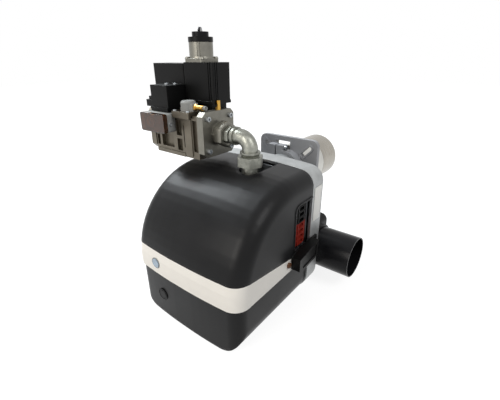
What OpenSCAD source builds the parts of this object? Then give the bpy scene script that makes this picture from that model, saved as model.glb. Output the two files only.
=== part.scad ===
// Small forced-draught gas burner: plastic hood, cast housing, blast tube with a
// sliding boiler flange, air intake stub and a gas line with a multi-block valve.
// The pieces are drawn on a bench frame: X = 0 on the burner's middle plane,
// Y = 0 at the hood's front and Z = 0 at its base. bench() then moves the origin
// to the blast tube's axis, on the boiler side of the flange.

/* [Hood] */
// Width of hood and housing
hood_w = 250; // [246:1:256]
// Height of the hood at the middle of its crown
hood_h = 264; // [262:1:266]
// Length of the hood from its front to the parting line
hood_len = 216; // [212:1:218]
// Radius of the curve from the front to the top
nose_r = 160; // [150:1:165]
// Radius of the long edges along the sides
hood_corner = 28; // [22:1:34]
// Rise of the crowned faces at their middle
hood_crown = 4; // [3:0.5:6]
// Radius of the bottom corners seen from the front
foot_r = 45; // [36:1:50]
// Wall thickness of the hood
hood_t = 2.6; // [2.2:0.1:3]
// How far the lower part lies inside the band
lower_inset = 3.5; // [2.5:0.5:4]
// Gap between hood and housing
parting_gap = 0.8; // [0.4:0.1:1.2]
// Height of the band's lower edge
band_z = 91; // [88:1:94]
// Height of the band across the front
band_h = 44; // [38:1:46]
// How far the band's upper edge falls towards the rear
band_fall = 21; // [14:1:24]
// Thickness of the band
band_t = 1.4; // [1:0.1:1.6]
// Where the band ends on the sides
band_end = 172; // [160:1:176]
// Sideways place of the reset button
button_x = -60; // [-66:1:-54]
// Radius of the reset button
button_r = 8.5; // [7:0.5:9]
// Travel of the reset button
button_travel = 3; // [2:0.5:4]
// Radius of the plug in the lower front
plug_r = 11.5; // [9:0.5:13]

/* [Housing] */
// Depth of the cast housing behind the hood
pan_depth = 37.2; // [36:0.2:37.6]
// Thickness of the housing's ring wall
pan_t = 5; // [4:0.5:6]
// Thickness of the housing's back wall
back_t = 6; // [5:0.5:6.5]
// Thickness of the mounting plate
deck_t = 3; // [2.5:0.5:4]
// Gap from the mounting plate to the hood's inner wall
deck_gap = 2.5; // [2:0.5:4]

/* [Fan and motor] */
// Sideways place of the fan's axis
fan_x = -28; // [-30:1:-26]
// Height of the fan's axis
fan_z = 92; // [90:1:94]
// Radius of the fan wheel
fan_r = 62; // [58:1:63]
// Width of the fan wheel
fan_w = 38; // [34:1:38]
// Number of fan blades
fan_blades = 32; // [24:1:36]
// Radius of the motor's body
motor_r = 43; // [40:1:44]
// Length of the motor's body
motor_len = 92; // [84:1:96]
// Radius of the motor's shaft
shaft_r = 5; // [4:0.5:6]

/* [Air intake] */
// Outer radius of the intake pipe
intake_r = 42; // [40:0.5:42]
// Wall thickness of the intake pipe
intake_t = 2; // [1.5:0.5:2.5]
// How far the intake pipe's end lies to the side
intake_x = 190; // [180:1:200]
// Height of the intake pipe's axis
intake_z = 68; // [66:1:70]
// Half width of the air box
airbox_half = 102; // [100:1:104]
// Wall thickness of the air box
airbox_t = 2; // [1.5:0.1:2.2]
// Radius of the damper's shaft
damper_shaft_r = 4; // [3:0.5:4.5]

/* [Blast tube and flange] */
// Height of the blast tube's axis
tube_z = 211; // [209:1:213]
// Radius of the neck that the flange slides on
neck_r = 39; // [38:0.5:40]
// Outer radius of the blast tube
tube_r = 51; // [50:0.5:52]
// Wall thickness of the blast tube
tube_t = 1.8; // [1.5:0.1:2.5]
// Length of the collar behind the flange
collar_len = 71; // [66:1:76]
// Length of the blast tube's end piece
tube_len = 64; // [56:1:72]
// Width and height of the boiler flange
flange_w = 144; // [140:1:146]
// Thickness of the boiler flange
flange_t = 10; // [8:0.5:11]
// Distance from the hood's front to the flange's boiler side
flange_y = 338; // [338:1:342]
// Thickness of the flange gasket
gasket_t = 3.5; // [3:0.5:3.8]
// Width of the slots in the flange
slot_w = 9; // [8:0.5:10]
// Distance from the tube's axis to the inner end of each slot
slot_in = 54; // [52:1:56]
// Distance from the tube's axis to the outer end of each slot
slot_out = 77; // [72:1:79]

/* [Gas line] */
// Sideways place of the gas riser
riser_x = 34; // [32:1:36]
// Distance of the riser from the hood's front
riser_y = 152; // [150:1:154]
// Height of the gas line's axis above the base
gas_z = 318; // [316:1:322]
// Outer radius of the gas pipe
pipe_r = 10.6; // [10:0.1:10.8]
// Bore radius of the gas line
gas_bore_r = 8; // [7:0.5:8.5]
// Outer radius of the elbow's body
elbow_r = 13.5; // [13:0.5:14]
// Width across the flats of the union nut
nut_flats = 41; // [40:0.5:43]

/* [Gas valve] */
// Where the valve's outlet face lies
valve_out_x = -36; // [-37:1:-35]
// Length of the valve between its outer flange faces
valve_len = 146; // [142:1:150]
// Width and height of the valve's flanges
valve_flange_w = 79; // [76:1:81]
// Thickness of the valve's flanges
valve_flange_t = 14; // [12:1:15]
// Depth of the valve body from front to rear
valve_depth = 76; // [72:1:78]
// Height of the valve body
valve_h = 76; // [74:1:78]
// Height of the coil housing
coil_h = 68; // [64:1:72]
// Radius of the tower
tower_r = 21; // [19:0.5:21.5]
// Height of the tower's cast body
tower_h = 32; // [28:1:34]
// Radius of the valve plungers
plunger_r = 9; // [8:0.5:10]
// Lift of the valve plungers
plunger_lift = 3.5; // [2.5:0.5:4]

/* [Fits] */
// Radial clearance of a shaft that turns in a bore
run_fit = 0.05; // [0.02:0.01:0.08]
// Radial clearance between pieces that slide or lie loose
slide_fit = 0.3; // [0.25:0.05:0.4]
// Radial clearance of pieces that are fixed in each other
fixed_fit = 0.02; // [0.01:0.01:0.03]

/* [Hidden] */
$fn = 64;

// Room that a cut takes past the face it goes through
eps = 1;
// Height and width of cuts that pass the whole burner
far = 600;
half_w = hood_w / 2;
nose_z = hood_h - nose_r;
pan_y0 = hood_len + parting_gap;
pan_y1 = pan_y0 + pan_depth;
back_y0 = pan_y1 - back_t;
deck_y1 = hood_len - parting_gap;
deck_y0 = deck_y1 - deck_t;
deck_half = half_w - lower_inset - hood_t - deck_gap;
deck_top = hood_h - hood_t - deck_gap;
valve_y = riser_y;
valve_z0 = gas_z - 44;
valve_z1 = valve_z0 + valve_h;

// Shared forms

// Moves a piece from the bench frame to the flange's frame
module bench() translate([0, -flange_y, -tube_z]) children();

// Box between two corners
module block(low, high) translate(low) cube(high - low);

// Rods between two places along an axis, at the other two coordinates
module rod_x(r, x0, x1, y, z, sides = 64)
    translate([x0, y, z]) rotate([0, 90, 0]) cylinder(r = r, h = x1 - x0, $fn = sides);
module rod_y(r, y0, y1, x, z, sides = 64)
    translate([x, y0, z]) rotate([-90, 0, 0]) cylinder(r = r, h = y1 - y0, $fn = sides);
module rod_z(r, z0, z1, x, y, sides = 64)
    translate([x, y, z0]) cylinder(r = r, h = z1 - z0, $fn = sides);

// Cones along an axis
module cone_y(r0, r1, y0, y1, x, z)
    translate([x, y0, z]) rotate([-90, 0, 0]) cylinder(r1 = r0, r2 = r1, h = y1 - y0);
module cone_z(r0, r1, z0, z1, x, y)
    translate([x, y, z0]) cylinder(r1 = r0, r2 = r1, h = z1 - z0);

// Flat rectangle with round corners, between two corners
module round_rect(low, high, r) {
    translate([low[0] + r, low[1]]) square([high[0] - low[0] - 2 * r, high[1] - low[1]]);
    translate([low[0], low[1] + r]) square([high[0] - low[0], high[1] - low[1] - 2 * r]);
    for (x = [low[0] + r, high[0] - r], y = [low[1] + r, high[1] - r])
        translate([x, y]) circle(r);
}

// Box with its four edges along one axis rounded
module soft_z(low, high, r) translate([0, 0, low[2]])
    linear_extrude(high[2] - low[2]) round_rect([low[0], low[1]], [high[0], high[1]], r);
module soft_y(low, high, r) translate([0, high[1], 0]) rotate([90, 0, 0])
    linear_extrude(high[1] - low[1]) round_rect([low[0], low[2]], [high[0], high[2]], r);
module soft_x(low, high, r) translate([low[0], 0, 0]) rotate([90, 0, 90])
    linear_extrude(high[0] - low[0]) round_rect([low[1], low[2]], [high[1], high[2]], r);

// Half section of the crowned hood: x is the distance from the nose's axis
function crown_r(half, corner, crown) = pow(half - corner, 2) / (2 * crown);
function corner_x(reach, half, corner, crown) = reach - crown_r(half, corner, crown)
    + sqrt(pow(crown_r(half, corner, crown) - corner, 2) - pow(half - corner, 2));
module crowned(reach, half, corner, crown) {
    big = crown_r(half, corner, crown);
    cx = corner_x(reach, half, corner, crown);
    cy = half - corner;
    lean = asin(cy / (big - corner));
    edge = [reach - big + (big + crown) * cos(lean), (big + crown) * sin(lean)];
    translate([0, -half]) square([cx, 2 * half]);
    for (s = [-1, 1]) translate([cx, s * cy]) circle(corner);
    intersection() {
        translate([reach - big, 0]) circle(big, $fn = 360);
        polygon([[0, -cy], [cx, -cy], [edge[0], -edge[1]], [edge[0], edge[1]], [cx, cy], [0, cy]]);
    }
}

// Front outline of hood and housing, with the large bottom corners; drop lowers the bottom
module outline(inset, drop = 0) {
    half = half_w - inset;
    foot = foot_r - inset;
    intersection() {
        translate([0, nose_z]) rotate(90) union() {
            crowned(nose_r - inset, half, hood_corner - inset, hood_crown);
            translate([-nose_z, -half]) square([nose_z + eps, 2 * half]);
        }
        translate([0, -drop]) union() {
            translate([-half + foot, inset]) square([2 * (half - foot), far]);
            translate([-half, foot_r]) square([2 * half, far]);
            for (s = [-1, 1]) translate([s * (half - foot), foot_r]) circle(foot);
        }
    }
}

// The hood's full form: a straight front, the nose's arc and a straight rear
module hood_form(inset, length = hood_len, drop = 0) {
    reach = nose_r - inset;
    half = half_w - inset;
    corner = hood_corner - inset;
    intersection() {
        union() {
            translate([0, nose_r, nose_z]) rotate([90, 0, -90])
                rotate_extrude(angle = 90) intersection() {
                    crowned(reach, half, corner, hood_crown);
                    translate([0, -half]) square([reach + eps, 2 * half]);
                }
            translate([0, nose_r, 0]) rotate(-90)
                linear_extrude(nose_z) crowned(reach, half, corner, hood_crown);
            translate([0, length, 0]) rotate([90, 0, 0])
                linear_extrude(length - nose_r) outline(inset, drop);
        }
        translate([0, length, 0]) rotate([90, 0, 0])
            linear_extrude(length + eps) outline(inset, drop);
    }
}

// Hood

// Side view of the band, drawn across the whole width
module band_region(grow) translate([-half_w - eps, 0, 0]) rotate([90, 0, 90])
    linear_extrude(hood_w + 2 * eps) polygon([[-eps, band_z - grow],
        [band_end + grow, band_z - grow],
        [band_end + grow, band_z + band_h - band_fall],
        [hood_corner, band_z + band_h], [-eps, band_z + band_h]]);

notch_r = elbow_r + 6.5;
cutout_y = 161;
cutout_z0 = 123;
cutout_z1 = 212;
cutout_r = 10;
rim_w = 3;
rim_t = 1.2;
button_z = band_z + band_h / 2 - 1;
bezel_w = 1.6;
bezel_r = button_r + slide_fit + bezel_w;
plug_x = -54;
plug_z = 45;
button_y = pow(button_x / (half_w - hood_corner), 2) * hood_crown;

module side_window(grow, x0, x1)
    soft_x([x0, cutout_y - grow, cutout_z0 - grow],
        [x1, hood_len + 2 * cutout_r, cutout_z1 + grow], cutout_r + grow);

module hood_shell() color("#3a3835") difference() {
    union() {
        difference() {
            hood_form(0);
            translate([0, 0, -eps]) block([-far, -far, 0], [far, far, band_z + eps]);
        }
        difference() {
            hood_form(lower_inset, hood_len, lower_inset);
            translate([0, 0, band_z + hood_t]) block([-far, -far, 0], [far, far, far]);
        }
        intersection() {
            side_window(rim_w, half_w - hood_t, half_w + rim_t);
            block([0, 0, 0], [far, hood_len, far]);
        }
    }
    difference() {
        hood_form(hood_t, hood_len + eps);
        block([-far, -far, -eps], [far, far, band_z + hood_t]);
    }
    difference() {
        hood_form(lower_inset + hood_t, hood_len + eps, lower_inset);
        block([-far, -far, band_z + 2 * hood_t], [far, far, far]);
    }
    difference() {
        intersection() {
            hood_form(-eps);
            band_region(0);
        }
        hood_form(band_t);
    }
    rod_z(notch_r, nose_z, far, riser_x, riser_y);
    block([riser_x - notch_r, riser_y, nose_z], [riser_x + notch_r, far, far]);
    side_window(0, half_w - 2 * rim_w, half_w + 2 * rim_w);
    rod_y(bezel_r + fixed_fit, -eps, hood_corner, button_x, button_z);
    rod_y(plug_r - 2 + fixed_fit, -eps, hood_corner, plug_x, plug_z);
    rod_x(catch_r + slide_fit, half_w - hood_corner, half_w + eps, catch_y, catch_z);
}

module hood_band() color("#ded6cc") difference() {
    intersection() {
        hood_form(0);
        band_region(0);
    }
    hood_form(band_t);
    rod_y(bezel_r + fixed_fit, -eps, hood_corner, button_x, button_z);
    rod_x(catch_r + slide_fit, half_w - hood_corner, half_w + eps, catch_y, catch_z);
}

// Blank plug with a round groove, pressed into the lower front
plug_y = lower_inset + pow(plug_x / (half_w - hood_corner), 2) * hood_crown;
module hood_plug() color("#2c2a28") difference() {
    union() {
        rod_y(plug_r, plug_y - 1.8, plug_y - 0.6, plug_x, plug_z);
        rod_y(plug_r - 2, plug_y - 1.8, plug_y + hood_t + 3, plug_x, plug_z);
    }
    difference() {
        rod_y(plug_r - 1.2, plug_y - 3, plug_y - 1.2, plug_x, plug_z);
        rod_y(plug_r - 3, plug_y - 3, plug_y, plug_x, plug_z);
    }
    rod_y(plug_r - 4, plug_y + hood_t, plug_y + hood_t + 4, plug_x, plug_z);
}

// Quarter-turn screw at the band's end; its shank enters the mounting plate's catch
catch_r = 3;
catch_y = 143;
catch_z = 108;
catch_x = deck_half - 4;
module hood_screw() color("#6b4a36") difference() {
    union() {
        rod_x(5.2, half_w + slide_fit, half_w + 3.2, catch_y, catch_z);
        rod_x(catch_r, catch_x - 3, half_w + 1, catch_y, catch_z);
    }
    block([half_w + 1.8, catch_y - 0.7, catch_z - far], [half_w + 4, catch_y + 0.7, catch_z + far]);
}

// Ring that guides the reset button
module reset_bezel() color("#c9c6c2") difference() {
    union() {
        rod_y(bezel_r, button_y - 0.4, button_y + 12, button_x, button_z);
        rod_y(bezel_r + 2.5, button_y + hood_t + 1.7, button_y + 6.6, button_x, button_z);
    }
    rod_y(button_r + slide_fit, button_y - eps, button_y + 9, button_x, button_z);
    rod_y(3 + slide_fit, button_y, button_y + 13, button_x, button_z);
}

module reset_button() color("#a9c0d6") {
    rod_y(button_r, button_y - 1.2, button_y + 9 - button_travel - 0.5, button_x, button_z);
    rod_y(3, button_y, button_y + 30, button_x, button_z);
}

// Housing

boss_r = 7;
boss_places = [[-106, 34], [106, 34], [-92, 232], [92, 232]];
eye_r = 42;
scroll_r = fan_r + 8;
scroll_growth = 13;
scroll_t = 3;

// Fan scroll that opens towards the blast tube
function scroll_at(a, extra) = (scroll_r + extra + scroll_growth * a / 360)
    * [cos(a), sin(a)] + [fan_x, fan_z];
module scroll_outline(extra) polygon(
    [for (a = [0 : 10 : 330]) scroll_at(a, extra)]);

module housing_pan() color("#b9bab6") difference() {
    union() {
        difference() {
            translate([0, pan_y1, 0]) rotate([90, 0, 0]) linear_extrude(pan_depth) outline(0);
            translate([0, back_y0, 0]) rotate([90, 0, 0])
                linear_extrude(pan_depth) outline(pan_t);
        }
        for (p = boss_places) rod_y(boss_r, deck_y1, back_y0 + eps, p[0], p[1]);
        translate([0, back_y0 + eps, 0]) rotate([90, 0, 0])
            linear_extrude(back_y0 - deck_y1 - deck_t) difference() {
                scroll_outline(scroll_t);
                scroll_outline(0);
                translate([fan_x, fan_z]) rotate(-30) square([far, fan_r]);
            }
        rod_y(neck_r, pan_y1 - eps, flange_y + gasket_t + 8, 0, tube_z);
    }
    rod_y(neck_r - 4, back_y0 - eps, far, 0, tube_z);
    rod_y(eye_r, back_y0 - eps, pan_y1 + eps, fan_x, fan_z);
    rod_y(damper_shaft_r + run_fit, back_y0 - eps, pan_y1 + eps, damper_x, intake_z);
    for (p = boss_places) rod_y(2.5, deck_y1 - eps, back_y0 - 3, p[0], p[1]);
}

// Deck that carries motor, control box and the hood's catch
cover_open_r = fan_r + 12;
module mounting_plate() color("#8f9294") difference() {
    union() {
        translate([0, deck_y1, 0]) rotate([90, 0, 0]) linear_extrude(deck_t) intersection() {
            outline(half_w - deck_half);
            translate([-far, 0]) square([2 * far, deck_top]);
        }
        block([catch_x, catch_y - 8, catch_z - 9], [deck_half, deck_y0 + eps, catch_z + 9]);
    }
    rod_y(cover_open_r, deck_y0 - eps, deck_y1 + eps, fan_x, fan_z);
    rod_y(pipe_r + 1, deck_y0 - eps, deck_y1 + eps, 0, tube_z);
    rod_y(damper_shaft_r + run_fit, deck_y0 - eps, deck_y1 + eps, damper_x, intake_z);
    rod_x(catch_r + 0.5, catch_x - eps, deck_half + eps, catch_y, catch_z);
    block([catch_x - eps, catch_y - 9, catch_z - catch_r - 0.5],
        [deck_half + eps, catch_y, catch_z + catch_r + 0.5]);
    for (p = boss_places) rod_y(2.7, deck_y0 - eps, deck_y1 + eps, p[0], p[1]);
}

// Socket screw along +Y: its head starts at y0 and its shank ends at y1
module screw_y(r, head_r, head_h, y0, y1, x, z) difference() {
    union() {
        rod_y(head_r, y0, y0 + head_h, x, z);
        rod_y(r, y0 + head_h, y1, x, z);
    }
    rod_y(head_r / 2, y0 - eps, y0 + head_h * 0.6, x, z, 6);
}

module plate_screws() color("#a7a9ab") {
    for (p = boss_places) screw_y(2.5 - run_fit, 4.5, 4, deck_y0 - 4, back_y0 - 6, p[0], p[1]);
    for (a = [45 : 90 : 359]) translate([fan_x, 0, fan_z]) rotate([0, a, 0]) {
        rod_y(4.4, cover_y0 + 3, cover_y0 + 4.4, motor_r - 6, 0);
        rod_y(2.5 - run_fit, motor_y1 - 5, cover_y0 + 4, motor_r - 6, 0);
    }
}

cover_y0 = deck_y0 - 15;
module fan_cover() color("#a4a6a6") difference() {
    union() {
        rod_y(cover_open_r + 10, deck_y0 - 3, deck_y0, fan_x, fan_z);
        rod_y(cover_open_r, cover_y0, deck_y0, fan_x, fan_z);
    }
    rod_y(cover_open_r - 3, cover_y0 + 3, deck_y0 + eps, fan_x, fan_z);
    rod_y(16, cover_y0 - eps, cover_y0 + 4, fan_x, fan_z);
    for (a = [45 : 90 : 359])
        translate([fan_x, 0, fan_z]) rotate([0, a, 0]) rod_y(2.7, cover_y0 - eps, cover_y0 + 4, motor_r - 6, 0);
}

// Motor and fan

motor_y1 = cover_y0;
motor_y0 = motor_y1 - motor_len;
bearing_r = 11;
bearing_w = 8;
fan_y0 = cover_y0 + 5;
fan_y1 = fan_y0 + fan_w;
hub_r = 12;

module motor_body() color("#2f3133") difference() {
    union() {
        rod_y(motor_r - 2, motor_y0, motor_y1 - 6, fan_x, fan_z);
        rod_y(motor_r, motor_y1 - 6, motor_y1, fan_x, fan_z);
        for (a = [0 : 15 : 359]) translate([fan_x, 0, fan_z]) rotate([0, a, 0])
            block([motor_r - 4, motor_y0 + 6, -1.2], [motor_r, motor_y1 - 5, 1.2]);
    }
    rod_y(shaft_r + slide_fit, motor_y0 + 20, motor_y1 + eps, fan_x, fan_z);
    rod_y(bearing_r, motor_y1 - bearing_w, motor_y1 + eps, fan_x, fan_z);
    rod_y(bearing_r, motor_y0 + 20, motor_y0 + 20 + bearing_w, fan_x, fan_z);
    for (a = [45 : 90 : 359])
        translate([fan_x, 0, fan_z]) rotate([0, a, 0]) rod_y(2.5, motor_y1 - 6, motor_y1 + eps, motor_r - 6, 0);
}

module motor_end_bell() color("#55585a") difference() {
    union() {
        rod_y(motor_r - 1, motor_y0 - 8, motor_y0, fan_x, fan_z);
        cone_y(motor_r - 9, motor_r - 3, motor_y0 - 14, motor_y0 - 8, fan_x, fan_z);
    }
    for (a = [0 : 30 : 359]) translate([fan_x, 0, fan_z]) rotate([0, a, 0])
        block([14, motor_y0 - 15, -1.5], [motor_r - 12, motor_y0 - 11, 1.5]);
}

module motor_bearings() color("#9da1a4")
    for (y = [motor_y0 + 20, motor_y1 - bearing_w]) difference() {
        rod_y(bearing_r - run_fit, y, y + bearing_w, fan_x, fan_z);
        rod_y(shaft_r + run_fit, y - eps, y + bearing_w + eps, fan_x, fan_z);
    }

module motor_shaft() color("#b4b8bb")
    rod_y(shaft_r, motor_y0 + 21, fan_y0 + 24, fan_x, fan_z);

blade_t = 1;
blade_len = 11;
blade_mid = fan_r - 6;
blade_lean = 35;

module fan_wheel() color("#c3c5c6") difference() {
    union() {
        rod_y(fan_r, fan_y0, fan_y0 + 1.5, fan_x, fan_z);
        rod_y(hub_r, fan_y0, fan_y0 + 22, fan_x, fan_z);
        difference() {
            rod_y(fan_r, fan_y1 - 1.5, fan_y1, fan_x, fan_z);
            rod_y(blade_mid - 6, fan_y1 - 2.5, fan_y1 + eps, fan_x, fan_z);
        }
        for (i = [0 : fan_blades - 1]) translate([fan_x, 0, fan_z])
            rotate([0, i * 360 / fan_blades, 0]) translate([blade_mid, 0, 0]) rotate([0, blade_lean, 0])
                block([-blade_len / 2, fan_y0 + 0.5, -blade_t / 2], [blade_len / 2, fan_y1 - 0.5, blade_t / 2]);
    }
    rod_y(shaft_r, fan_y0 - eps, fan_y0 + 30, fan_x, fan_z);
}

// Electrical pieces under the hood

box_x0 = 66;
box_x1 = 106;
box_y0 = 118;
socket_x = 118;
socket_y0 = 179;
socket_y1 = 209;
socket_z0 = 124;
pole = 11.3;
socket_mid = socket_z0 + 4 * pole;
socket_z1 = socket_mid + 3 * pole;

module control_box() color("#303234") {
    difference() {
        soft_y([box_x0, box_y0, socket_z0 - 2], [box_x1, socket_y0 - 2, socket_z1 + 6], 4);
        for (i = [0 : 5]) block([box_x0 + 6, box_y0 - eps, 132 + 11 * i],
            [box_x1 - 14, box_y0 + 1.5, 136 + 11 * i]);
        rod_y(6, box_y0 - eps, box_y0 + 3, box_x1 - 7, 200);
    }
    soft_y([box_x0 - 3, socket_y0 - 2, socket_z0 - 4], [box_x1, deck_y0, socket_z1 + 8], 3);
}

// Row of socket chambers that open to the side
chamber_w = 7.4;
chamber_y0 = socket_y0 + 6;
chamber_y1 = socket_y1 - 8;
chamber_depth = 8;
module socket_row(z0, count) difference() {
    union() {
        block([box_x1, socket_y0, z0], [socket_x - 1.5, socket_y1, z0 + count * pole]);
        for (i = [0 : count - 1]) soft_x([socket_x - 2, socket_y0 + 3, z0 + i * pole + 0.7],
            [socket_x, socket_y1 - 4, z0 + (i + 1) * pole - 0.7], 2);
    }
    for (i = [0 : count - 1]) soft_x([socket_x - chamber_depth, chamber_y0, z0 + (i + 0.5) * pole - chamber_w / 2],
        [socket_x + eps, chamber_y1, z0 + (i + 0.5) * pole + chamber_w / 2], 1.5);
}
module socket_black() color("#1d1e20") socket_row(socket_mid, 3);
module socket_brown() color("#8a2a20") socket_row(socket_z0, 4);

module ignition_transformer() color("#26282a") difference() {
    union() {
        soft_y([-112, 128, 178], [-62, deck_y0 - 3, 224], 4);
        block([-108, deck_y0 - 4, 182], [-66, deck_y0, 220]);
        for (x = [-98, -76]) rod_y(5, 116, 129, x, 201);
    }
    for (x = [-98, -76]) rod_y(2.2, 115, 126, x, 201);
}

module air_switch() color("#3c3f42") {
    rod_y(19, deck_y0 - 16, deck_y0, -38, 224);
    rod_y(16, deck_y0 - 30, deck_y0 - 16, -38, 224);
    rod_y(4, deck_y0 - 40, deck_y0 - 30, -38, 224);
    rod_x(3, -22, -12.5, deck_y0 - 8, 224);
}

// Air intake

intake_gap = 1.2;
intake_y = pan_y1 + intake_r + intake_gap;
airbox_y1 = intake_y + intake_r + slide_fit + airbox_t;
airbox_z0 = 14;
airbox_z1 = 122;
damper_x = 80;
intake_in_x = 36;
socket_end = airbox_half + 9;
spigot_r = intake_r - 0.6;

module air_box() color("#232527") difference() {
    union() {
        soft_y([-airbox_half, pan_y1, airbox_z0], [airbox_half, airbox_y1, airbox_z1], 14);
        intersection() {
            rod_x(intake_r + 4, airbox_half - eps, socket_end, intake_y, intake_z);
            block([0, pan_y1, 0], [far, airbox_y1, far]);
        }
    }
    soft_y([-airbox_half + airbox_t, pan_y1 - eps, airbox_z0 + airbox_t],
        [airbox_half - airbox_t, airbox_y1 - airbox_t, airbox_z1 - airbox_t], 12);
    rod_x(spigot_r + fixed_fit, airbox_half - 2 * airbox_t, socket_end + eps, intake_y, intake_z);
}

module intake_pipe() color("#1b1c1e") difference() {
    union() {
        rod_x(intake_r, socket_end + 0.3, intake_x, intake_y, intake_z);
        rod_x(spigot_r, intake_in_x, socket_end + 1, intake_y, intake_z);
    }
    rod_x(intake_r - intake_t, intake_in_x - eps, intake_x + eps, intake_y, intake_z);
    for (s = [-1, 1]) rod_y(damper_shaft_r + run_fit, intake_y + s * intake_r - 4,
        intake_y + s * intake_r + 4, damper_x, intake_z);
}

module damper_flap() color("#8c8f91") difference() {
    union() {
        rod_x(intake_r - intake_t - 0.6, damper_x - 1, damper_x + 1, intake_y, intake_z);
        rod_y(damper_shaft_r + 2, intake_y - intake_r + 9, intake_y + intake_r - 9, damper_x, intake_z);
    }
    rod_y(damper_shaft_r + fixed_fit, pan_y1, airbox_y1, damper_x, intake_z);
}

module damper_shaft() color("#b4b8bb")
    rod_y(damper_shaft_r, deck_y0 - 18, airbox_y1 - airbox_t - 0.3, damper_x, intake_z);

knob_r = 13;
module air_knob() color("#202224") difference() {
    union() {
        rod_y(knob_r, deck_y0 - 10, deck_y0 - 0.6, damper_x, intake_z);
        block([damper_x - 2, deck_y0 - 14, intake_z - knob_r + 1], [damper_x + 2, deck_y0 - 9, intake_z + knob_r - 1]);
    }
    rod_y(damper_shaft_r + fixed_fit, deck_y0 - 20, deck_y0, damper_x, intake_z);
}

// Blast tube and boiler flange

flange_y0 = flange_y - flange_t;
hub_y0 = flange_y0 - 20;
clamp_hub_r = neck_r + 7;
slot_mid = (slot_in + slot_out) / 2;
recess_r = tube_r + 6.5;
window_x0 = -30;
window_x1 = 6;

module flange_slots(y0, y1, grow) for (a = [45 : 90 : 359])
    translate([0, 0, tube_z]) rotate([0, -a, 0]) {
        block([slot_in, y0, -slot_w / 2 - grow], [slot_out, y1, slot_w / 2 + grow]);
        for (x = [slot_in, slot_out]) rod_y(slot_w / 2 + grow, y0, y1, x, 0);
    }

module flange_plate() color("#5b5b5f") difference() {
    union() {
        soft_y([-flange_w / 2, flange_y0, tube_z - flange_w / 2],
            [flange_w / 2, flange_y, tube_z + flange_w / 2], 14);
        rod_y(clamp_hub_r, hub_y0, flange_y0 + eps, 0, tube_z);
        flange_slots(flange_y0 - 2, flange_y0 + eps, 3.5);
    }
    rod_y(neck_r + slide_fit, hub_y0 - eps, flange_y + eps, 0, tube_z);
    rod_y(recess_r, flange_y - 0.6, flange_y + eps, 0, tube_z);
    flange_slots(flange_y0 - 4, flange_y + eps, 0);
    block([window_x0, flange_y0 - 2 - eps, tube_z + neck_r + 3],
        [window_x1, flange_y + eps, tube_z + flange_w / 2 - 10]);
    block([slit_x0, hub_y0 - eps, tube_z], [slit_x0 + slit_w, flange_y0 - 3, tube_z + far]);
}

slit_x0 = -20;
slit_w = 3;
clamp_x0 = -38;
clamp_x1 = 0;
clamp_z = 46;
module clamp_block() color("#3c3d41") difference() {
    block([clamp_x0, hub_y0, tube_z + 30], [clamp_x1, flange_y0 - 2, tube_z + clamp_z + 10]);
    rod_y(clamp_hub_r + fixed_fit, hub_y0 - eps, flange_y0, 0, tube_z);
    block([slit_x0, hub_y0 - eps, tube_z], [slit_x0 + slit_w, flange_y0 - 5, tube_z + far]);
    rod_x(3.05, clamp_x0 + 4, clamp_x1 + eps, hub_y0 + 8, tube_z + clamp_z + 5);
}

module clamp_screw() color("#c9ccce") difference() {
    union() {
        rod_x(3, clamp_x0 + 5, clamp_x1 + 1, hub_y0 + 8, tube_z + clamp_z + 5);
        rod_x(4.7, clamp_x1 + 0.1, clamp_x1 + 6, hub_y0 + 8, tube_z + clamp_z + 5);
    }
    rod_x(2.5, clamp_x1 + 2, clamp_x1 + 7, hub_y0 + 8, tube_z + clamp_z + 5, 6);
}

module flange_gasket() color("#d8d4c8") difference() {
    soft_y([-flange_w / 2 + 2, flange_y, tube_z - flange_w / 2 + 2],
        [flange_w / 2 - 2, flange_y + gasket_t, tube_z + flange_w / 2 - 2], 12);
    rod_y(recess_r, flange_y - eps, flange_y + gasket_t + eps, 0, tube_z);
    flange_slots(flange_y - eps, flange_y + gasket_t + eps, 0.5);
    block([window_x0 - 1, flange_y - eps, tube_z + neck_r + 2],
        [window_x1 + 1, flange_y + gasket_t + eps, tube_z + flange_w / 2 - 9]);
}

collar_y0 = flange_y;
collar_y1 = collar_y0 + collar_len;
tube_y1 = collar_y1 + tube_len;
module tube_collar() color("#a3a49f") difference() {
    rod_y(tube_r, collar_y0, collar_y1, 0, tube_z);
    rod_y(neck_r + fixed_fit, collar_y0 - eps, collar_y0 + 7, 0, tube_z);
    rod_y(tube_r - 4, collar_y0 + 6, collar_y1 + eps, 0, tube_z);
}

module blast_tube() color("#b8b0a0") difference() {
    union() {
        rod_y(tube_r, collar_y1 + 0.8, tube_y1, 0, tube_z);
        rod_y(tube_r - 4 - run_fit, collar_y1 - 14, collar_y1 + 2, 0, tube_z);
    }
    rod_y(tube_r - tube_t, collar_y1 + 4, tube_y1 + eps, 0, tube_z);
    rod_y(tube_r - 6, collar_y1 - 15, collar_y1 + 5, 0, tube_z);
}

head_r = 16;
head_y0 = collar_y1 - 12;
head_y1 = collar_y1 + 34;
module gas_head() color("#9a9c9c") difference() {
    union() {
        rod_y(head_r, head_y0, head_y1, 0, tube_z);
        cone_y(pipe_r + 1, head_r, head_y0 - 8, head_y0, 0, tube_z);
    }
    rod_y(pipe_r + fixed_fit, head_y0 - 9, head_y0 + 6, 0, tube_z);
    rod_y(head_r - 3, head_y0 + 5, head_y1 - 3, 0, tube_z);
    for (a = [0 : 30 : 359]) translate([0, 0, tube_z]) rotate([0, a, 0])
        rod_x(2.2, head_r - 5, head_r + eps, head_y1 - 8, 0);
}

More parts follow.
